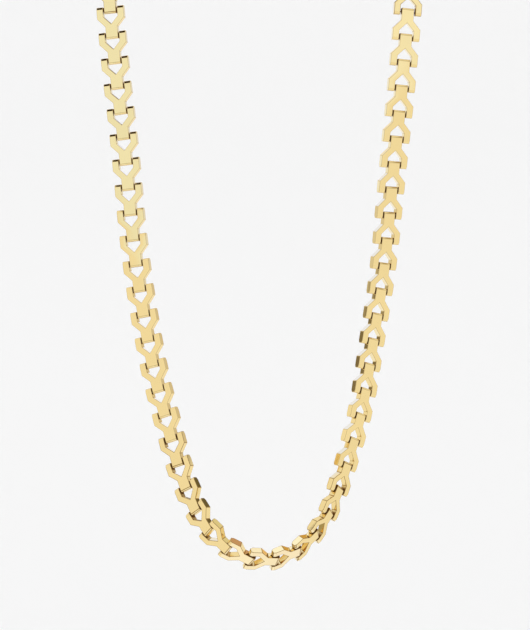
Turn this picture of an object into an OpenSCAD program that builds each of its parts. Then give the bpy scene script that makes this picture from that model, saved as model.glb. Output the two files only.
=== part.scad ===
/* [Link] */
// From one hinge pin to the next
link_pitch = 7.2; // [6.8:0.1:8]
// Width over the two arms
link_w = 7.9; // [7.2:0.1:9]
// Thickness of a link, front face to back face
link_t = 1.85; // [1.8:0.05:2.2]
// Plate that lies beyond the hinge pin at an arm's tip
end_reach = 0.9; // [0.85:0.05:1.1]
// Plate that lies beyond the hinge pin at the stem's end
stem_reach = 1.1; // [0.85:0.05:1.1]
// Radius that rounds both ends of a link, seen from its side
end_round = 0.5; // [0.3:0.05:0.8]
// Width of the stem, the foot of the Y
stem_w = 3.5; // [3:0.1:3.6]
// Clear width between the arms, which takes the stem of the link before
arm_gap = 4.35; // [4.3:0.05:4.8]
// Straight outer side of an arm past its pin
arm_run = 2.45; // [1.5:0.05:3]
// Where the outer slopes reach the stem, from the arm pin
slope_end = 4.8; // [4:0.05:5]
// Straight inner side of an arm past its pin
inner_run = 1.95; // [1.4:0.05:2.4]
// Where the two inner slopes meet, from the arm pin
notch_end = 4.1; // [3.4:0.05:4.3]

/* [Hinge] */
// Thickness of a hinge pin
pin_d = 0.35; // [0.3:0.05:0.35]
// Bore across the stem, wide enough for the pin's loose tilt
bore_d = 1.5; // [1.45:0.05:1.5]
// How far a pin is let into each arm
pin_seat = 0.6; // [0.3:0.1:1]

/* [End tabs, rings and clasp] */
// From the hinge of the tongue tab to its eye
tongue_l = 5.4; // [5:0.1:7]
// From the hinge of the forked tab to its eye
fork_l = 6.4; // [6.2:0.1:8]
// Hole of each eye that takes a ring
eye_d = 1.9; // [1.7:0.1:2.1]
// Middle radius of a jump ring
ring_r = 2.2; // [2.1:0.1:2.6]
// Wire of a jump ring
ring_wire = 0.8; // [0.6:0.1:0.9]
// Thickness of the clasp
clasp_t = 1.6; // [1.2:0.1:1.8]
// Width of the clasp at its slotted end
clasp_w = 4.6; // [4.4:0.1:4.8]
// Width of the clasp at its eye end
clasp_eye_w = 3.8; // [3.6:0.1:4.2]
// Play of the ring along the clasp's slot
slot_play = 2.1; // [1:0.1:2.4]

/* [Hidden] */
$fn = 48;
// How far a cutting shape runs past what it cuts
overcut = 1;
half_t = link_t / 2;
front = [0, -1, 0];

// How the worn chain hangs in front. Angles in degrees, straight between the rows.
// heading: turn of a link from straight down, round to the viewer's right
// lean: how far its travel tips away from the viewer
// roll: how far its face turns to the outside of the loop
// link, heading, lean, roll
front_route = [
    [12, 4, -3, 13],
    [16, 7, -3, 13],
    [20, 5, -3, 16],
    [23, 8, -1, 19],
    [26, 11, -6, 23],
    [28, 15, -8, 25],
    [30, 15, -9, 26],
    [32, 24, -20, 32],
    [33, 33, -26, 34],
    [34, 46, -7, 39],
    [35, 63, 13, 47],
    [36, 87, 19, 49],
    [37, 110, 22, 53],
    [38, 132, 22, 58],
    [39, 146, 18, 57],
    [40, 157, 14, 53],
    [41, 162, 7, 47],
    [43, 165, 8, 42],
    [45, 171, 9, 37],
    [48, 171, 1, 34],
    [51, 175, -5, 28],
    [55, 174, -4, 19],
    [60, 176, 4, 10]
];

// How each strand goes on from there over the shoulder and round the nape.
// hinge: bend backward at each pin, sway: bend in the plane of the face towards
// the other strand, twist: turn of the face to the outside, all per link
// links, hinge, sway, twist
left_nape_route = [
    [5, 9.2, -5, 3.8],
    [7, 12.6, 6.7, 4.8]
];
right_nape_route = [
    [5, 9, -5.1, 4],
    [7, 12.5, 6.9, 5]
];

function unit(v) = v / norm(v);

// A vector turned about an axis by an angle
function turned(v, axis, angle) =
    let (a = unit(axis))
    v * cos(angle) + cross(a, v) * sin(angle) + a * (a * v) * (1 - cos(angle));

function column(rows, c) = [for (r = rows) [r[0], r[c]]];

// A frame is the way that a link travels, and the way that its face looks
function front_frame(k) =
    let (heading = lookup(k, column(front_route, 1)))
    let (lean = lookup(k, column(front_route, 2)))
    let (roll = lookup(k, column(front_route, 3)))
    let (d = [sin(heading) * cos(lean), sin(lean), -cos(heading) * cos(lean)])
    let (f = unit(front - (front * d) * d))
    [d, f * cos(roll) + cross(d, f) * sin(roll)];

// The frame one link further up a strand, side is 1 on the left and -1 on the right
function bent(frame, side, step) =
    let (u = frame[0])
    let (n = frame[1])
    let (turn = -(step[1] * cross(u, n) + step[2] * side * n + step[3] * side * u))
    [turned(u, turn, norm(turn)), turned(n, turn, norm(turn))];

function climb(frame, side, steps, i = 0) =
    i >= len(steps) ? [] :
    let (next = bent(frame, side, steps[i]))
    concat([next], climb(next, side, steps, i + 1));

function steps_of(rows) = [for (r = rows) for (i = [1 : r[0]]) r];
function reversed(v) = [for (i = [len(v) - 1 : -1 : 0]) v[i]];
function running_sum(v, i = 0, s = [0, 0, 0]) =
    i >= len(v) ? [s] : concat([s], running_sum(v, i + 1, s + v[i]));

first_front = front_route[0][0];
last_front = front_route[len(front_route) - 1][0];
front_frames = [for (k = [first_front : last_front]) front_frame(k)];
left_start = [-front_frames[0][0], front_frames[0][1]];
left_climb = climb(left_start, 1, steps_of(left_nape_route));
right_climb = climb(front_frames[len(front_frames) - 1], -1, steps_of(right_nape_route));
left_frames = [for (f = reversed(left_climb)) [-f[0], f[1]]];
frames = concat(left_frames, front_frames, right_climb);
link_count = len(frames);

// Hinge pins in order of travel, with the origin midway between the two eyes
loose_pins = running_sum([for (f = frames) link_pitch * f[0]]);
loose_left_eye = loose_pins[0] - tongue_l * frames[0][0];
loose_right_eye = loose_pins[link_count] + fork_l * frames[link_count - 1][0];
origin_shift = (loose_left_eye + loose_right_eye) / 2;
pins = [for (p = loose_pins) p - origin_shift];
left_eye = loose_left_eye - origin_shift;
right_eye = loose_right_eye - origin_shift;

clasp_way = unit(left_eye - right_eye);
mean_face = frames[0][1] + frames[link_count - 1][1];
clasp_face = unit(mean_face - (mean_face * clasp_way) * clasp_way);
clasp_l = norm(left_eye - right_eye) - 4 * ring_r;

// Puts x across a link, y along its travel and z on its face, at a point
module placed(at, frame) {
    d = frame[0];
    n = frame[1];
    w = cross(d, n);
    multmatrix([
        [w[0], d[0], n[0], at[0]],
        [w[1], d[1], n[1], at[1]],
        [w[2], d[2], n[2], at[2]],
        [0, 0, 0, 1]
    ]) children();
}

function mirrored_x(points) = [for (p = points) [-p[0], p[1]]];

// Right half of the Y from the arm tip to the stem, and back up the inner side
function y_half(stem_to) = [
    [arm_gap / 2, inner_run],
    [arm_gap / 2, -end_reach],
    [link_w / 2, -end_reach],
    [link_w / 2, arm_run],
    [stem_w / 2, slope_end],
    [stem_w / 2, stem_to]
];

module y_outline(stem_to) {
    half = y_half(stem_to);
    polygon(concat([[0, notch_end]], half, reversed(mirrored_x(half))));
}

// Side profile of a plate, with its ends rounded, as a bar across x
module rounded_bar(from, to, width) {
    straight = half_t - end_round;
    rotate([90, 0, 90]) translate([0, 0, -width / 2]) linear_extrude(width) {
        translate([from + end_round, -half_t]) square([to - from - 2 * end_round, link_t]);
        translate([from, -straight]) square([to - from, 2 * straight]);
        for (y = [from + end_round, to - end_round]) {
            for (z = [-straight, straight]) translate([y, z]) circle(end_round);
        }
    }
}

module cross_bore(y) {
    translate([0, y, 0]) rotate([0, 90, 0]) cylinder(d = bore_d, h = stem_w + overcut, center = true);
}

module hinge_pin() {
    rotate([0, 90, 0]) cylinder(d = pin_d, h = arm_gap + 2 * pin_seat, center = true);
}

module face_eye(y) {
    translate([0, y, 0]) cylinder(d = eye_d, h = link_t + overcut, center = true);
}

// One Y link: the plate, its pin between the arms, and the bore across its stem
module y_link() {
    stem_to = link_pitch + stem_reach;
    difference() {
        intersection() {
            translate([0, 0, -half_t]) linear_extrude(link_t) y_outline(stem_to);
            rounded_bar(-end_reach, stem_to, link_w + overcut);
        }
        cross_bore(link_pitch);
    }
    hinge_pin();
}

module y_links() {
    color("#e8cf86") {
        for (k = [0 : link_count - 1]) placed(pins[k], frames[k]) y_link();
    }
}

// The tab that sits between the first link's arms and ends in an eye
module tongue_tab() {
    color("#e8cf86") placed(pins[0], frames[0]) difference() {
        intersection() {
            translate([0, 0, -half_t]) linear_extrude(link_t) {
                translate([-stem_w / 2, -tongue_l]) square([stem_w, tongue_l + stem_reach]);
                translate([0, -tongue_l]) circle(d = stem_w);
            }
            rounded_bar(-tongue_l - stem_w, stem_reach, link_w + overcut);
        }
        cross_bore(0);
        face_eye(-tongue_l);
    }
}

// The last link, whose stem ends in an eye instead of a hinge
module forked_tab() {
    color("#e8cf86") placed(pins[link_count], frames[link_count - 1]) {
        difference() {
            intersection() {
                translate([0, 0, -half_t]) linear_extrude(link_t) {
                    y_outline(fork_l);
                    translate([0, fork_l]) circle(d = stem_w);
                }
                rounded_bar(-end_reach, fork_l + stem_w, link_w + overcut);
            }
            face_eye(fork_l);
        }
        hinge_pin();
    }
}

// A ring whose wire passes through the eye that it hangs in, way is its reach from there
module jump_ring(eye, way) {
    color("#e2c67a") placed(eye + ring_r * way, [way, clasp_face]) {
        rotate([0, 90, 0]) rotate_extrude() translate([ring_r, 0]) circle(d = ring_wire);
    }
}

module left_jump_ring() {
    jump_ring(left_eye, -clasp_way);
}

module right_jump_ring() {
    jump_ring(right_eye, clasp_way);
}

// Flat closed clasp: an eye for one ring, a slot whose far end holds the other
module clasp() {
    color("#e2c67a") placed(right_eye + 2 * ring_r * clasp_way, [clasp_way, clasp_face]) {
        translate([0, 0, -clasp_t / 2]) linear_extrude(clasp_t) difference() {
            union() {
                circle(d = clasp_eye_w);
                translate([0, clasp_l]) circle(d = clasp_w);
                polygon([
                    [-clasp_eye_w / 2, 0],
                    [clasp_eye_w / 2, 0],
                    [clasp_w / 2, clasp_l],
                    [-clasp_w / 2, clasp_l]
                ]);
            }
            for (y = [0, clasp_l - slot_play, clasp_l]) translate([0, y]) circle(d = eye_d);
            translate([-eye_d / 2, clasp_l - slot_play]) square([eye_d, slot_play]);
        }
    }
}

y_links();
tongue_tab();
forked_tab();
left_jump_ring();
right_jump_ring();
clasp();
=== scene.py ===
import math
import random

import bmesh
import bpy
from mathutils import Matrix, Vector


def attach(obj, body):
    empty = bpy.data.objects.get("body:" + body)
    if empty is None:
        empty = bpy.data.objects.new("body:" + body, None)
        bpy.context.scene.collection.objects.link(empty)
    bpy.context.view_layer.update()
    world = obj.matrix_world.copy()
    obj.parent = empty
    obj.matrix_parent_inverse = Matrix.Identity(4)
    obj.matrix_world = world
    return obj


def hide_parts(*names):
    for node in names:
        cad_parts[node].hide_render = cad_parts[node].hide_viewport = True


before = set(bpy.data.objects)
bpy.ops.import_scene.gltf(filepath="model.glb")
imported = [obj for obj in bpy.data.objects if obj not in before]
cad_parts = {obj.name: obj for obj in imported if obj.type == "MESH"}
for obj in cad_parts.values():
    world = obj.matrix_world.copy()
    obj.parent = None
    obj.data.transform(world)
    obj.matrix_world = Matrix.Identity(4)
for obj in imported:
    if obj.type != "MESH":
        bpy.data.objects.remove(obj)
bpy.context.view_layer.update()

mm = 0.001
random.seed(22)  # for the tones of the links, the same each run

# the photo's framing: where the first whole link's pin sits in the picture
shot = {
    "frame": (530, 630),        # pixels
    "distance": 1000.0,         # mm from the lens to the lowest link's pin
    "pixelsPerMm": 3.6,         # at that distance
    "firstPin": (110.7, 9.9),   # pixel of the pin of link firstLink
    "firstLink": 13,
    "lowLink": 36,
    "sensor": 36.0,             # mm
    "clip": (0.05, 20),         # metres
}

# how the worn chain runs, in degrees: a front row is link, heading, lean and roll,
# a nape row is how many links turn by its hinge, sway and twist
route = {
    "front": [
        (12, 4, -3, 13), (16, 7, -3, 13), (20, 5, -3, 16), (23, 8, -1, 19), (26, 11, -6, 23),
        (28, 15, -8, 25), (30, 15, -9, 26), (32, 24, -20, 32), (33, 33, -26, 34), (34, 46, -7, 39),
        (35, 63, 13, 47), (36, 87, 19, 49), (37, 110, 22, 53), (38, 132, 22, 58), (39, 146, 18, 57),
        (40, 157, 14, 53), (41, 162, 7, 47), (43, 165, 8, 42), (45, 171, 9, 37), (48, 171, 1, 34),
        (51, 175, -5, 28), (55, 174, -4, 19), (60, 176, 4, 10),
    ],
    "leftNape": [(5, 9.2, -5, 3.8), (7, 12.6, 6.7, 4.8)],
    "rightNape": [(5, 9, -5.1, 4), (7, 12.5, 6.9, 5)],
}

yLink = {  # one Y link, mm
    "pitch": 7.2,
    "width": 7.9,
    "thick": 1.85,
    "endReach": 0.9,           # plate beyond a pin at an arm tip
    "stemReach": 1.1,          # and at the stem end
    "tipFacet": (0.76, 0.34),  # cut across an arm tip: along the link, and down its side
    "stemFacet": (0.45, 0.2),  # and across the stem end
    "stem": 3.5,
    "armGap": 4.35,
    "snug": 0.2,               # how much closer the hinge fits where the links lie straight
    "looseFrom": 5.0,          # tilt between neighbours, in degrees, above which it doesn't
    "armRun": 2.45,            # straight outer side
    "slopeEnd": 4.8,
    "innerRun": 1.95,          # straight inner side
    "notchEnd": 4.1,
    "edge": 0.14,              # soft polished edge
    "edgeSteps": 3,
    "sharpFrom": 15,           # degrees between two faces above which their edge is softened
    "snugShade": (0.3, 1),      # painted edge line, and how fast the painted hinge shade fades
    "looseShade": (0.8, 0.6),
    "cushion": (0.5, 0.05),    # how far in the faces curve, and how far down at the edge
    "pin": 0.35,
    "pinSides": 16,
}


# Route of the chain, with d along a link's travel and n out of its face

def between(rows, k, column):  # link k's value, on straight lines from row to row
    for a, b in zip(rows, rows[1:]):
        if k <= b[0]:
            return a[column] + (b[column] - a[column]) * (k - a[0]) / (b[0] - a[0])
    return rows[-1][column]


def frontFrame(k):
    heading, lean, roll = (math.radians(between(route["front"], k, c)) for c in (1, 2, 3))
    d = Vector((math.sin(heading) * math.cos(lean), math.sin(lean),
                -math.cos(heading) * math.cos(lean)))
    toLens = Vector((0, -1, 0))
    n = (toLens - toLens.dot(d) * d).normalized()
    return d, n * math.cos(roll) + d.cross(n) * math.sin(roll)


def bentFrame(u, n, side, row):
    _, hinge, sway, twist = row
    turn = -(hinge * u.cross(n) + sway * side * n + twist * side * u)
    spin = Matrix.Rotation(math.radians(turn.length), 3, turn.normalized())
    return spin @ u, spin @ n


def climb(u, n, side, rows):  # over the shoulder to the nape, with u the way up
    made = []
    for row in rows:
        for _ in range(row[0]):
            u, n = bentFrame(u, n, side, row)
            made.append((u, n))
    return made


def chainRoute(tongueLength, forkLength):
    first, last = route["front"][0][0], route["front"][-1][0]
    front = [frontFrame(k) for k in range(first, last + 1)]
    left = climb(-front[0][0], front[0][1], 1, route["leftNape"])
    right = climb(front[-1][0], front[-1][1], -1, route["rightNape"])
    frames = [(-u, n) for u, n in reversed(left)] + front + right
    pins = [Vector((0, 0, 0))]
    for d, _ in frames:
        pins.append(pins[-1] + d * yLink["pitch"])
    leftEye = pins[0] - frames[0][0] * tongueLength
    rightEye = pins[-1] + frames[-1][0] * forkLength
    shift = (leftEye + rightEye) / 2  # the origin lies midway between the eyes
    return frames, [p - shift for p in pins], leftEye - shift, rightEye - shift


endTabs = {  # mm
    "tongue": 5.4,        # from the pin to the eye
    "fork": 6.4,
    "eye": 1.9,
    "tones": (0.4, 0.6),  # tongue and fork, between 0 and 1 as the links' are
}
frames, pins, leftEye, rightEye = chainRoute(endTabs["tongue"], endTabs["fork"])
print("route:", len(frames), "links")


def placeAt(point, d, n):  # from a shape's own mm to its place in metres
    w = d.cross(n)
    turn = Matrix((w, d, n)).transposed().to_4x4()
    return Matrix.Translation(point * mm) @ turn @ Matrix.Scale(mm, 4)


# Camera

def makeCamera():  # level, and where the pin of firstLink falls on its pixel
    wide, tall = shot["frame"]
    focal = shot["distance"] * shot["pixelsPerMm"]
    pin = pins[shot["firstLink"]]
    near = pins[shot["lowLink"]].y - shot["distance"]
    depth = pin.y - near
    x = pin.x - (shot["firstPin"][0] - wide / 2) * depth / focal
    z = pin.z + (shot["firstPin"][1] - tall / 2) * depth / focal
    data = bpy.data.cameras.new("photoCamera")
    data.sensor_width = shot["sensor"]
    data.lens = focal / max(wide, tall) * shot["sensor"]
    data.clip_start, data.clip_end = shot["clip"]
    camera = bpy.data.objects.new("photoCamera", data)
    camera.location = Vector((x, near, z)) * mm
    camera.rotation_euler = (math.radians(90), 0, 0)
    bpy.context.scene.collection.objects.link(camera)
    bpy.context.scene.camera = camera


makeCamera()
print("camera: placed")


# Shaping, in mm, with x across a link, y along its travel and z out of its face

touch = 1e-4        # points nearer than this are one
arcSteps = 20       # of a half circle
holeSides = 32
flatWithin = 0.01   # radians, faces that differ by less become one
lineUp = 0.02       # how far a wall or a normal's x may be off and still count
sideFrom = 0.9      # a normal's x from which a face is a side wall
shallowFrom = 0.92  # a normal's z above which an edge is a shallow one
flatFrom = 0.999    # a normal's z above which a face is flat
leastFlat = 1       # mm2, a smaller face isn't cushioned
shadeSpill = 0.1    # how far the hinge's shade may run past a wall's end
patternStep = 9     # how far a tone of 1 moves the finish's pattern


def vertsIn(geom):
    return [g for g in geom if isinstance(g, bmesh.types.BMVert)]


def addLoop(bm, points, arcs=None):  # arcs: point number -> centre of the half circle to the next
    verts = [bm.verts.new((x, y, 0)) for x, y in points]
    for i, v in enumerate(verts):
        if arcs and i in arcs:
            bmesh.ops.spin(bm, geom=[v], cent=(*arcs[i], 0), axis=(0, 0, 1), angle=math.pi,
                           steps=arcSteps)
        else:
            bm.edges.new((v, verts[(i + 1) % len(verts)]))
    bmesh.ops.remove_doubles(bm, verts=bm.verts, dist=touch)


def addHole(bm, y, diameter):
    bmesh.ops.create_circle(bm, cap_ends=False, segments=holeSides, radius=diameter / 2,
                            matrix=Matrix.Translation((0, y, 0)))


def fillPlate(bm, thick):
    bmesh.ops.triangle_fill(bm, use_beauty=True, use_dissolve=False, edges=bm.edges[:])
    made = bmesh.ops.extrude_face_region(bm, geom=bm.faces[:])
    bmesh.ops.translate(bm, vec=(0, 0, thick), verts=vertsIn(made["geom"]))
    bmesh.ops.translate(bm, vec=(0, 0, -thick / 2), verts=bm.verts)
    bmesh.ops.recalc_face_normals(bm, faces=bm.faces)
    bmesh.ops.dissolve_limit(bm, angle_limit=flatWithin, verts=bm.verts, edges=bm.edges,
                             use_dissolve_boundaries=False)


def facetEnd(bm, end, facet):  # a small bevel, whose inner line then moves along the link
    run, drop = facet
    crossing = [e for e in bm.edges
                if all(abs(v.co.y - end) < touch for v in e.verts)
                and abs(e.verts[0].co.z - e.verts[1].co.z) < touch]
    bmesh.ops.bevel(bm, geom=crossing, offset=drop, offset_type="OFFSET", affect="EDGES",
                    segments=1, profile=0.5, material=-1)
    inward = 1 if end < 0 else -1
    for v in bm.verts:
        if abs(v.co.y - end - inward * drop) < touch:
            v.co.y = end + inward * run


def breakEdges(bm, strength):  # marks the softened edges for a painted dark line, not the shallow one at a tip
    line = bm.loops.layers.float.new("paintedEdgeLine")
    sharpFrom = math.radians(yLink["sharpFrom"])
    sharp = [e for e in bm.edges if len(e.link_faces) == 2 and e.calc_face_angle() > sharpFrom]
    rounded = bmesh.ops.bevel(bm, geom=sharp, offset=yLink["edge"], offset_type="OFFSET",
                              affect="EDGES", segments=yLink["edgeSteps"], profile=0.5,
                              material=-1)["faces"]
    bm.normal_update()
    for f in rounded:
        atTip = f.calc_center_median().y < 0
        shallow = abs(f.normal.x) < lineUp and abs(f.normal.z) > shallowFrom
        for corner in f.loops:
            corner[line] = 0 if atTip and shallow else strength


def cushion(bm):
    run, drop = yLink["cushion"]
    flats = [f for f in bm.faces if abs(f.normal.z) > flatFrom and f.calc_area() > leastFlat]
    border = [(v, f.normal.z) for f in flats for v in f.verts]
    for flat in flats:
        bmesh.ops.inset_individual(bm, faces=[flat], thickness=run, use_even_offset=True)
    for v, side in border:
        v.co.z -= side * drop


# painted shade for a hinge: 1 deep in it, where the gold is painted darker for the shade that falls
# there
def shadeHinge(bm, armInside, stemTo, fade):
    dark = bm.loops.layers.float.new("recess")
    armsTo, stemFrom = yLink["innerRun"], yLink["slopeEnd"]
    reach = yLink["endReach"]
    for f in bm.faces:
        if abs(f.normal.x) < sideFrom:
            continue
        x = abs(f.calc_center_median().x)
        onArm = armInside and abs(x - armInside) < lineUp
        onStem = stemTo and abs(x - yLink["stem"] / 2) < lineUp
        for corner in f.loops:
            y = corner.vert.co.y
            if onArm and y < armsTo + shadeSpill:
                corner[dark] = 1 - fade * max(y + reach, 0) / (armsTo + reach)
            elif onStem and y > stemFrom - shadeSpill:
                corner[dark] = (y - stemFrom) / (stemTo - stemFrom)


def toMesh(bm, name):
    mesh = bpy.data.meshes.new(name)
    bm.to_mesh(mesh)
    bm.free()
    return mesh


# armInside: x of the arms' inner walls, stemTo: y where the stem ends in a hinge
def finishPlate(bm, name, armInside=None, stemTo=None, look="snugShade"):
    line, fade = yLink[look]
    breakEdges(bm, line)
    cushion(bm)
    shadeHinge(bm, armInside, stemTo, fade)
    return toMesh(bm, name)


def withPin(mesh, name):  # the pin joins the finished plate, so its own edges stay plain
    bm = bmesh.new()
    bm.from_mesh(mesh)
    bmesh.ops.create_cone(bm, cap_ends=True, segments=yLink["pinSides"],
                          radius1=yLink["pin"] / 2, radius2=yLink["pin"] / 2,
                          depth=yLink["armGap"] + 2 * yLink["edge"],
                          matrix=Matrix.Rotation(math.radians(90), 4, "Y"))
    return toMesh(bm, name)


def yOutline(stemTo, snug):
    inside, outside, stem = (yLink["armGap"] - snug) / 2, yLink["width"] / 2, yLink["stem"] / 2
    half = [(inside, yLink["innerRun"]), (inside, -yLink["endReach"]),
            (outside, -yLink["endReach"]), (outside, yLink["armRun"]),
            (stem, yLink["slopeEnd"]), (stem, stemTo)]
    return [(0, yLink["notchEnd"])] + half + [(-x, y) for x, y in reversed(half)]


def addObject(name, bm):
    for f in bm.faces:
        f.smooth = True
    obj = bpy.data.objects.new(name, toMesh(bm, name))
    bpy.context.scene.collection.objects.link(obj)
    return obj


# joins placed shapes in one piece, and keeps each one's own place and tone for the finish
def gather(name, parts):
    bm = bmesh.new()
    place = bm.verts.layers.float_vector.new("linkPlace")
    tone = bm.verts.layers.float.new("linkTone")
    line = bm.loops.layers.float.new("paintedEdgeLine")
    dark = bm.loops.layers.float.new("recess")
    for mesh, matrix, value in parts:
        start, startFace = len(bm.verts), len(bm.faces)
        bm.from_mesh(mesh)
        fresh = bm.verts[start:]
        rim, hidden = mesh.attributes.get("paintedEdgeLine"), mesh.attributes.get("recess")
        for v, source in zip(fresh, mesh.vertices):
            v[place] = source.co + Vector((0, 0, patternStep * value))
            v[tone] = value
        for f, source in zip(bm.faces[startFace:], mesh.polygons):
            for corner, i in zip(f.loops, source.loop_indices):
                corner[line] = rim.data[i].value if rim else 0
                corner[dark] = hidden.data[i].value if hidden else 0
        bmesh.ops.transform(bm, matrix=matrix, verts=fresh)
    obj = addObject(name, bm)
    flat = obj.modifiers.new("flatFaces", "WEIGHTED_NORMAL")  # keeps the polished faces truly flat
    flat.weight = 100
    return obj


# Y links

def makeYLink(snug):
    bm = bmesh.new()
    stemTo = yLink["pitch"] + yLink["stemReach"]
    addLoop(bm, yOutline(stemTo, snug))
    fillPlate(bm, yLink["thick"])
    facetEnd(bm, -yLink["endReach"], yLink["tipFacet"])
    facetEnd(bm, stemTo, yLink["stemFacet"])
    plate = finishPlate(bm, "yLinkPlate", (yLink["armGap"] - snug) / 2, stemTo,
                        "snugShade" if snug else "looseShade")
    return withPin(plate, "yLinkShape")


def hingeTilt(k):  # the greater of the tilts to the links before and after
    across = [d.cross(n) for d, n in frames[max(k - 1, 0):k + 2]]
    return max(math.degrees(a.angle(b)) for a, b in zip(across, across[1:]))


snugLink, looseLink = makeYLink(yLink["snug"]), makeYLink(0)
chain = gather("yLinks", [
    (looseLink if hingeTilt(k) > yLink["looseFrom"] else snugLink,
     placeAt(pins[k], *frames[k]), random.random())
    for k in range(len(frames))])
print("links:", len(chain.data.polygons), "faces")


# End tabs

def makeTongue():
    half, length, stemTo = yLink["stem"] / 2, endTabs["tongue"], yLink["stemReach"]
    bm = bmesh.new()
    addLoop(bm, [(-half, -length), (half, -length), (half, stemTo), (-half, stemTo)],
            {0: (0, -length)})
    addHole(bm, -length, endTabs["eye"])
    fillPlate(bm, yLink["thick"])
    facetEnd(bm, stemTo, yLink["stemFacet"])
    return finishPlate(bm, "tongueShape")


def makeFork():
    length = endTabs["fork"]
    bm = bmesh.new()
    addLoop(bm, yOutline(length, 0), {6: (0, length)})  # point 6 is the stem's first end corner
    addHole(bm, length, endTabs["eye"])
    fillPlate(bm, yLink["thick"])
    facetEnd(bm, -yLink["endReach"], yLink["tipFacet"])
    return withPin(finishPlate(bm, "forkPlate", yLink["armGap"] / 2), "forkShape")


tongueTone, forkTone = endTabs["tones"]
tongue = gather("tongueTab", [(makeTongue(), placeAt(pins[0], *frames[0]), tongueTone)])
fork = gather("forkedTab", [(makeFork(), placeAt(pins[-1], *frames[-1]), forkTone)])


# Jump rings and clasp

jumpRing = {  # mm
    "radius": 2.2,        # to the middle of the wire
    "wire": 0.8,
    "steps": 56,
    "sides": 16,
    "tones": (0.3, 0.7),  # left and right
}
clasp = {  # mm
    "thick": 1.6,
    "width": 4.6,         # at the slot's end
    "eyeWidth": 3.8,      # at the eye's end
    "eye": 1.9,
    "slotPlay": 2.1,      # how far a ring can run along the slot
    "tone": 0.5,
}

# rings and clasp lie on the line from eye to eye, and face as the tabs do
way = (leftEye - rightEye).normalized()
face = frames[0][1] + frames[-1][1]
face = (face - face.dot(way) * way).normalized()
clasp["length"] = (leftEye - rightEye).length - 4 * jumpRing["radius"]  # what the rings leave


def makeRing():
    bm = bmesh.new()
    bmesh.ops.create_circle(bm, cap_ends=False, segments=jumpRing["sides"],
                            radius=jumpRing["wire"] / 2,
                            matrix=Matrix.Translation((0, jumpRing["radius"], 0)))
    bmesh.ops.spin(bm, geom=bm.verts[:] + bm.edges[:], cent=(0, 0, 0), axis=(1, 0, 0),
                   angle=math.tau, steps=jumpRing["steps"], use_merge=True)
    bmesh.ops.remove_doubles(bm, verts=bm.verts, dist=touch)
    bmesh.ops.recalc_face_normals(bm, faces=bm.faces)
    return toMesh(bm, "ringShape")


def makeClasp():
    eyeHalf, half, slot = clasp["eyeWidth"] / 2, clasp["width"] / 2, clasp["eye"] / 2
    length = clasp["length"]
    slotFrom = length - clasp["slotPlay"]
    bm = bmesh.new()
    addLoop(bm, [(-eyeHalf, 0), (eyeHalf, 0), (half, length), (-half, length)],
            {0: (0, 0), 2: (0, length)})
    addLoop(bm, [(-slot, slotFrom), (slot, slotFrom), (slot, length), (-slot, length)],
            {0: (0, slotFrom), 2: (0, length)})
    addHole(bm, 0, clasp["eye"])
    fillPlate(bm, clasp["thick"])
    return finishPlate(bm, "claspShape")


ring, reach = makeRing(), jumpRing["radius"] * way
leftTone, rightTone = jumpRing["tones"]
leftRing = gather("leftJumpRing", [(ring, placeAt(leftEye - reach, way, face), leftTone)])
rightRing = gather("rightJumpRing", [(ring, placeAt(rightEye + reach, way, face), rightTone)])
claspPiece = gather("clasp", [(makeClasp(), placeAt(rightEye + 2 * reach, way, face),
                               clasp["tone"])])
print("ends: tabs, rings and clasp made")


# Finish

# the finish, with painted shade on the edges and in the hinges
polishAndShade = {
    "cloud": 0.34,                        # per mm, slow change of tone
    "smear": 1.1,                         # per mm, haze that the wheel leaves
    "hairStretch": (9.0, 0.55, 2.0),      # hairlines run along a link
    "hair": 1.6,
    "toneFrom": (0.3, 1.7),               # tone and cloud together, least and most
    "toneSpread": 0.05,
    "hazeFrom": (0.35, 0.75),             # of the smear, none and full
    "hingeShadeFrom": (0.38, 0.65),           # of the painted hinge shade, none and full
    # painted shade in the hinges: dark, rough gold
    "hingeShadeRoughness": 0.8,
    "recessGold": (0.27, 0.12, 0.02, 1),
    # painted shade: the dark gold of the lines on the edges
    "edgeGold": (0.30, 0.16, 0.03, 1),
    "bumpStrength": 0.06,
    "bumpDepth": 0.00004,                 # metres
}

# each gold: colour, roughness where smooth and where hazy, strength of the hairlines
golds = {
    "polishedGold": {
        "Gold": (0.925, 0.722, 0.338, 1), "Smooth": 0.04, "Hazy": 0.09, "Hairlines": 1.0},
    "drawnWireGold": {
        "Gold": (0.90, 0.70, 0.34, 1), "Smooth": 0.10, "Hazy": 0.20, "Hairlines": 1.4},
    "claspGold": {
        "Gold": (0.90, 0.70, 0.34, 1), "Smooth": 0.08, "Hazy": 0.18, "Hairlines": 1.2},
}


def newGroup(name, inputs, outputs):  # inputs and outputs: kind of socket -> its names
    tree = bpy.data.node_groups.new(name, "ShaderNodeTree")
    for way, sockets in (("INPUT", inputs), ("OUTPUT", outputs)):
        for kind, labels in sockets.items():
            for label in labels:
                tree.interface.new_socket(label, in_out=way, socket_type="NodeSocket" + kind)
    return tree, tree.nodes.new("NodeGroupInput"), tree.nodes.new("NodeGroupOutput")


def addNode(tree, kind, settings=None, **inputs):  # i0, i1 and so on are inputs by number
    node = tree.nodes.new(kind)
    for key, value in (settings or {}).items():
        setattr(node, key, value)
    for key, value in inputs.items():
        numbered = key[0] == "i" and key[1:].isdigit()
        socket = node.inputs[int(key[1:]) if numbered else key]
        if isinstance(value, bpy.types.NodeSocket):
            tree.links.new(value, socket)
        else:
            socket.default_value = value
    return node


def addMath(tree, operation, a, b):
    return addNode(tree, "ShaderNodeMath", {"operation": operation}, i0=a, i1=b).outputs[0]


def addRange(tree, value, fromRange, toRange=(0.0, 1.0), interpolation="LINEAR"):
    node = addNode(tree, "ShaderNodeMapRange", {"interpolation_type": interpolation}, Value=value,
                   **{"From Min": fromRange[0], "From Max": fromRange[1],
                      "To Min": toRange[0], "To Max": toRange[1]})
    return node.outputs[0]


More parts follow.
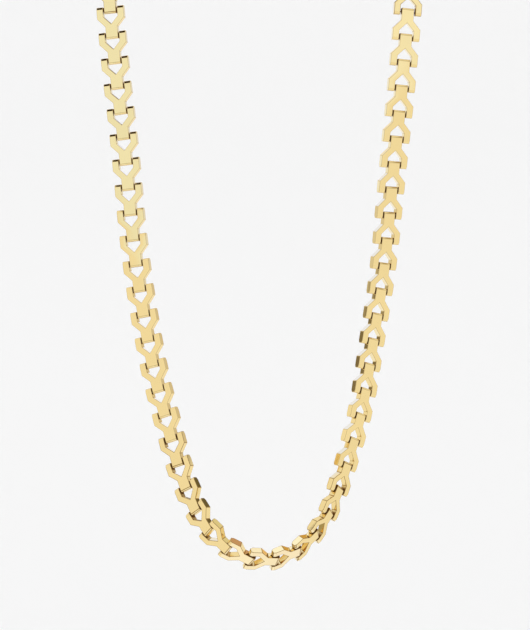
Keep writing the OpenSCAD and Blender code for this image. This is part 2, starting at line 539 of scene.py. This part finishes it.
def addMix(tree, kind, factor, a, b):
    node = addNode(tree, "ShaderNodeMix", {"data_type": kind}, Factor=factor, A=a, B=b)
    return node.outputs["Result"]


def polishAndShadeGroup():  # tone, haze and hairlines, with painted shade: darker gold on the edges and in the hinges
    tree, into, out = newGroup(
        "goldPolishAndShade",
        {"Vector": ["Place"],
         "Float": ["Tone", "Rim", "Recess", "Tone Spread", "Smooth", "Hazy", "Hairlines"],
         "Color": ["Gold", "Edge Gold", "Recess Gold"]},
        {"Color": ["Color"], "Float": ["Roughness", "Height"]})
    socket = into.outputs
    cloud = addNode(tree, "ShaderNodeTexNoise", Vector=socket["Place"], Scale=polishAndShade["cloud"],
                    Detail=2.0)
    smear = addNode(tree, "ShaderNodeTexNoise", Vector=socket["Place"], Scale=polishAndShade["smear"],
                    Detail=4.0, Distortion=0.6)
    along = addNode(tree, "ShaderNodeMapping", Vector=socket["Place"], Scale=polishAndShade["hairStretch"])
    hair = addNode(tree, "ShaderNodeTexNoise", Vector=along.outputs[0], Scale=polishAndShade["hair"],
                   Detail=5.0, Roughness=0.65)
    tone = addMath(tree, "ADD", socket["Tone"], cloud.outputs["Fac"])
    low = addMath(tree, "SUBTRACT", 1.0, socket["Tone Spread"])
    spread = addRange(tree, tone, polishAndShade["toneFrom"], (low, 1.0))
    faceGold = addNode(tree, "ShaderNodeVectorMath", {"operation": "SCALE"}, i0=socket["Gold"],
                       Scale=spread)
    # painted shade: a dark line on the edges, for the dark their bevels would reflect
    rimmed = addMix(tree, "RGBA", socket["Rim"], faceGold.outputs[0], socket["Edge Gold"])
    # painted shade: dark gold where a hinge lies
    deep = addRange(tree, socket["Recess"], polishAndShade["hingeShadeFrom"], interpolation="SMOOTHSTEP")
    colour = addMix(tree, "RGBA", deep, rimmed, socket["Recess Gold"])
    haze = addRange(tree, smear.outputs["Fac"], polishAndShade["hazeFrom"],
                    (socket["Smooth"], socket["Hazy"]))
    roughness = addMix(tree, "FLOAT", deep, haze, polishAndShade["hingeShadeRoughness"])
    height = addMath(tree, "MULTIPLY", hair.outputs["Fac"], socket["Hairlines"])
    tree.links.new(colour, out.inputs["Color"])
    tree.links.new(roughness, out.inputs["Roughness"])
    tree.links.new(height, out.inputs["Height"])
    return tree


def goldFinish(name):
    material = bpy.data.materials.new(name)
    material.use_nodes = True
    tree = material.node_tree
    shader = tree.nodes["Principled BSDF"]

    def read(attribute, output="Fac"):
        node = addNode(tree, "ShaderNodeAttribute", {"attribute_name": attribute})
        return node.outputs[output]

    finish = addNode(tree, "ShaderNodeGroup", {"node_tree": goldPolishAndShade},
                     Place=read("linkPlace", "Vector"), Tone=read("linkTone"),
                     Rim=read("paintedEdgeLine"), Recess=read("recess"), **golds[name],
                     **{"Tone Spread": polishAndShade["toneSpread"], "Edge Gold": polishAndShade["edgeGold"],
                        "Recess Gold": polishAndShade["recessGold"]})
    bump = addNode(tree, "ShaderNodeBump", Height=finish.outputs["Height"],
                   Strength=polishAndShade["bumpStrength"], Distance=polishAndShade["bumpDepth"])
    shader.inputs["Metallic"].default_value = 1
    tree.links.new(finish.outputs["Color"], shader.inputs["Base Color"])
    tree.links.new(finish.outputs["Roughness"], shader.inputs["Roughness"])
    tree.links.new(bump.outputs[0], shader.inputs["Normal"])
    return material


goldPolishAndShade = polishAndShadeGroup()
linkGold, ringGold, claspGold = (goldFinish(name) for name in golds)

for piece, node, slot, finish in (
        (chain, "y_links", "polished_gold", linkGold),
        (tongue, "tongue_tab", "polished_gold", linkGold),
        (fork, "forked_tab", "polished_gold", linkGold),
        (leftRing, "left_jump_ring", "ring_gold", ringGold),
        (rightRing, "right_jump_ring", "ring_gold", ringGold),
        (claspPiece, "clasp", "clasp_gold", claspGold)):
    piece.data.materials.clear()
    piece.data.materials.append(finish)
    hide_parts(node)
    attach(piece, "root")
print("finish: gold on every piece")


# Studio

studio = {
    "background": (0.913, 0.913, 0.913, 1),  # behind the paper, and the light that it sheds
    "paper": (0.918, 0.918, 0.918, 1),
    "floorZ": -0.30,                         # metres, and so are the sweep's other sizes
    "wallY": 0.55,
    "sweep": 0.25,                           # radius of the bend between floor and wall
    "sweepSteps": 16,
    "front": -2.5,
    "halfWidth": 2.5,
    "wallTop": 2.5,
    "lampAim": (0, 0, -0.1),
    # place, side of the square, watts
    "keyLight": ((-1.2, -1.4, 1.5), 1.2, 6),
    "fillLight": ((1.4, -1.2, 0.9), 1.2, 3),
    "base": (0.97, 0.97, 0.97, 1),           # what the gold reflects where there is no card
    "cardDepth": 0.5,
    # soft cards round the piece: azimuth from the lens to the viewer's right, elevation,
    # half width, half height, softness of the border, colour
    "cards": [
        (-19, 7, 5, 12, 0.8, (1.02, 1.18, 1.50)),
        (-31, 7, 6, 9, 0.6, (0.955, 1.06, 1.23)),
        (27, 5, 6, 8, 1.0, (1.02, 1.09, 1.22)),
        (34, 23, 8, 6, 0.5, (0.50, 0.46, 0.36)),
        (67, 32, 19, 6, 0.5, (0.48, 0.40, 0.27)),
        (-43.5, 51, 6.5, 5.5, 0.25, (0.03, 0.02, 0.015)),
        (-126, 67, 6, 6, 0.5, (0.12, 0.10, 0.07)),
        (-29, -17, 7, 7, 0.3, (0.10, 0.08, 0.05)),
        (-38, -41, 14, 6, 0.5, (1.04, 1.14, 1.35)),
        (0, -90, 22, 22, 0.8, (1.08, 1.16, 1.50)),
        (132, -52, 10, 14, 0.6, (1.04, 1.10, 1.42)),
        (125, -63, 6, 4, 0.4, (0.45, 0.40, 0.30)),
        (-22, 53, 9, 5, 0.4, (0.12, 0.10, 0.06)),
        (-50, 61, 6, 3.5, 0.4, (0.12, 0.10, 0.06)),
        (64, 69, 3.5, 3, 0.4, (0.05, 0.04, 0.03)),
        (0, 76, 14, 8, 0.4, (1.12, 1.26, 1.70)),
        (79, 65, 6, 6, 0.5, (1.08, 1.18, 1.55)),
        (84, 47, 6, 6, 0.5, (0.60, 0.40, 0.32)),
        (105, 49, 5, 5, 0.5, (0.78, 0.78, 0.66)),
        (106, 61, 8, 8, 0.4, (0.35, 0.26, 0.14)),
        (150, 7, 9, 6, 0.6, (0.84, 0.90, 1.08)),
        (131, 11, 8, 7, 0.6, (0.70, 0.66, 0.62)),
        (125, 35, 6, 11.5, 0.3, (0.15, 0.13, 0.08)),
        (155, 28, 6, 10, 0.6, (0.66, 0.42, 0.12)),
        (145, 14, 4, 3, 0.5, (0.87, 0.62, 0.33)),
        (178, 11, 5, 4, 0.4, (0.22, 0.17, 0.10)),
        (169, 20, 5, 5, 0.6, (0.97, 1.12, 1.70)),
        (178, -2, 16, 4, 0.4, (0.40, 0.34, 0.24)),
        (165, -14, 5, 7, 0.5, (0.40, 0.30, 0.15)),
        (-153, 42, 9, 9, 0.6, (0.92, 1.12, 2.00)),
        (-143, -24, 20, 13, 0.5, (1.00, 1.09, 1.38)),
        (-144, 6, 13, 4, 0.4, (0.97, 1.07, 1.35)),
        (-122, 4, 6, 4, 0.6, (0.78, 0.77, 0.76)),
        (-111.5, 9, 3, 2.5, 1.0, (0.42, 0.39, 0.33)),
        (-107, 12.5, 3, 3, 0.9, (0.22, 0.19, 0.14)),
        (-76, -20, 5, 5, 0.6, (0.42, 0.38, 0.25)),
    ],
}


def aim(azimuth, elevation):
    a, e = math.radians(azimuth), math.radians(elevation)
    return Vector((math.sin(a) * math.cos(e), -math.cos(a) * math.cos(e), math.sin(e)))


def cardGroup():  # an oval card as seen from the piece, which lies at Toward and fades over Soft
    tree, into, out = newGroup(
        "studioCard", {"Vector": ["Seen", "Toward", "Turn", "Size"], "Float": ["Soft"]},
        {"Float": ["Mask"]})
    socket = into.outputs
    local = addNode(tree, "ShaderNodeMapping", {"vector_type": "TEXTURE"}, Vector=socket["Seen"],
                    Location=socket["Toward"], Rotation=socket["Turn"], Scale=socket["Size"])
    far = addNode(tree, "ShaderNodeVectorMath", {"operation": "LENGTH"}, i0=local.outputs[0])
    border = addMath(tree, "ADD", 1.0, socket["Soft"])
    mask = addRange(tree, far.outputs["Value"], (1.0, border), (1.0, 0.0), "SMOOTHSTEP")
    tree.links.new(mask, out.inputs["Mask"])
    return tree


def makeWorld():  # the gold reflects the cards, and everything else sees a plain background
    world = bpy.data.worlds.new("softStudio")
    world.use_nodes = True
    tree = world.node_tree
    tree.nodes.clear()
    seen = addNode(tree, "ShaderNodeTexCoord").outputs["Generated"]
    card = cardGroup()
    base = addNode(tree, "ShaderNodeRGB")
    base.outputs[0].default_value = studio["base"]
    colour = base.outputs[0]
    for azimuth, elevation, wide, tall, soft, tint in studio["cards"]:
        toward, across = aim(azimuth, elevation), aim(azimuth + 90, 0)
        turn = Matrix((across, toward.cross(across), toward)).transposed().to_euler()
        size = (math.sin(math.radians(wide)), math.sin(math.radians(tall)), studio["cardDepth"])
        mask = addNode(tree, "ShaderNodeGroup", {"node_tree": card}, Seen=seen, Toward=toward,
                       Turn=tuple(turn), Size=size, Soft=soft)
        colour = addMix(tree, "RGBA", mask.outputs["Mask"], colour, (*tint, 1))
    path = addNode(tree, "ShaderNodeLightPath")
    shown = addMix(tree, "RGBA", path.outputs["Is Glossy Ray"], studio["background"], colour)
    shine = addNode(tree, "ShaderNodeBackground", Color=shown, Strength=1.0)
    addNode(tree, "ShaderNodeOutputWorld", Surface=shine.outputs[0])
    bpy.context.scene.world = world


def makePaper():
    paper = bpy.data.materials.new("palePaper")
    paper.use_nodes = True
    tree = paper.node_tree
    shader = tree.nodes["Principled BSDF"]
    shader.inputs["Base Color"].default_value = studio["paper"]
    shader.inputs["Roughness"].default_value = 1
    side = addNode(tree, "ShaderNodeNewGeometry")
    shown = addMath(tree, "SUBTRACT", 1.0, side.outputs["Backfacing"])
    tree.links.new(shown, shader.inputs["Alpha"])  # the wall doesn't hide the piece from behind
    return paper


def makeSweep():  # floor and wall in one soft sweep
    half, bend = studio["halfWidth"], studio["sweep"]
    floor, wall = studio["floorZ"], studio["wallY"]
    bm = bmesh.new()
    a = bm.verts.new((-half, studio["front"], floor))
    b = bm.verts.new((-half, wall - bend, floor))
    bm.edges.new((a, b))
    turned = bmesh.ops.spin(bm, geom=[b], cent=(-half, wall - bend, floor + bend),
                            axis=(1, 0, 0), angle=math.radians(90), steps=studio["sweepSteps"])
    top = vertsIn(turned["geom_last"])[0]
    bm.edges.new((top, bm.verts.new((-half, wall, studio["wallTop"]))))
    made = bmesh.ops.extrude_edge_only(bm, edges=bm.edges[:])
    bmesh.ops.translate(bm, vec=(2 * half, 0, 0), verts=vertsIn(made["geom"]))
    bm.normal_update()
    if min(bm.faces, key=lambda f: f.calc_center_median().z).normal.z < 0:
        bmesh.ops.reverse_faces(bm, faces=bm.faces[:])
    sweep = addObject("paleSweep", bm)
    sweep.data.materials.append(makePaper())
    sweep.visible_glossy = False


def softLight(name):
    place, size, energy = studio[name]
    data = bpy.data.lights.new(name, "AREA")
    data.shape, data.size, data.energy = "SQUARE", size, energy
    lamp = bpy.data.objects.new(name, data)
    lamp.location = place
    toAim = Vector(studio["lampAim"]) - Vector(place)
    lamp.rotation_euler = toAim.to_track_quat("-Z", "Y").to_euler()
    lamp.visible_glossy = False
    lamp.visible_camera = False
    bpy.context.scene.collection.objects.link(lamp)


makeWorld()
makeSweep()
softLight("keyLight")
softLight("fillLight")
bpy.context.scene.view_settings.view_transform = "Standard"
print("studio: world, sweep and two soft lights")
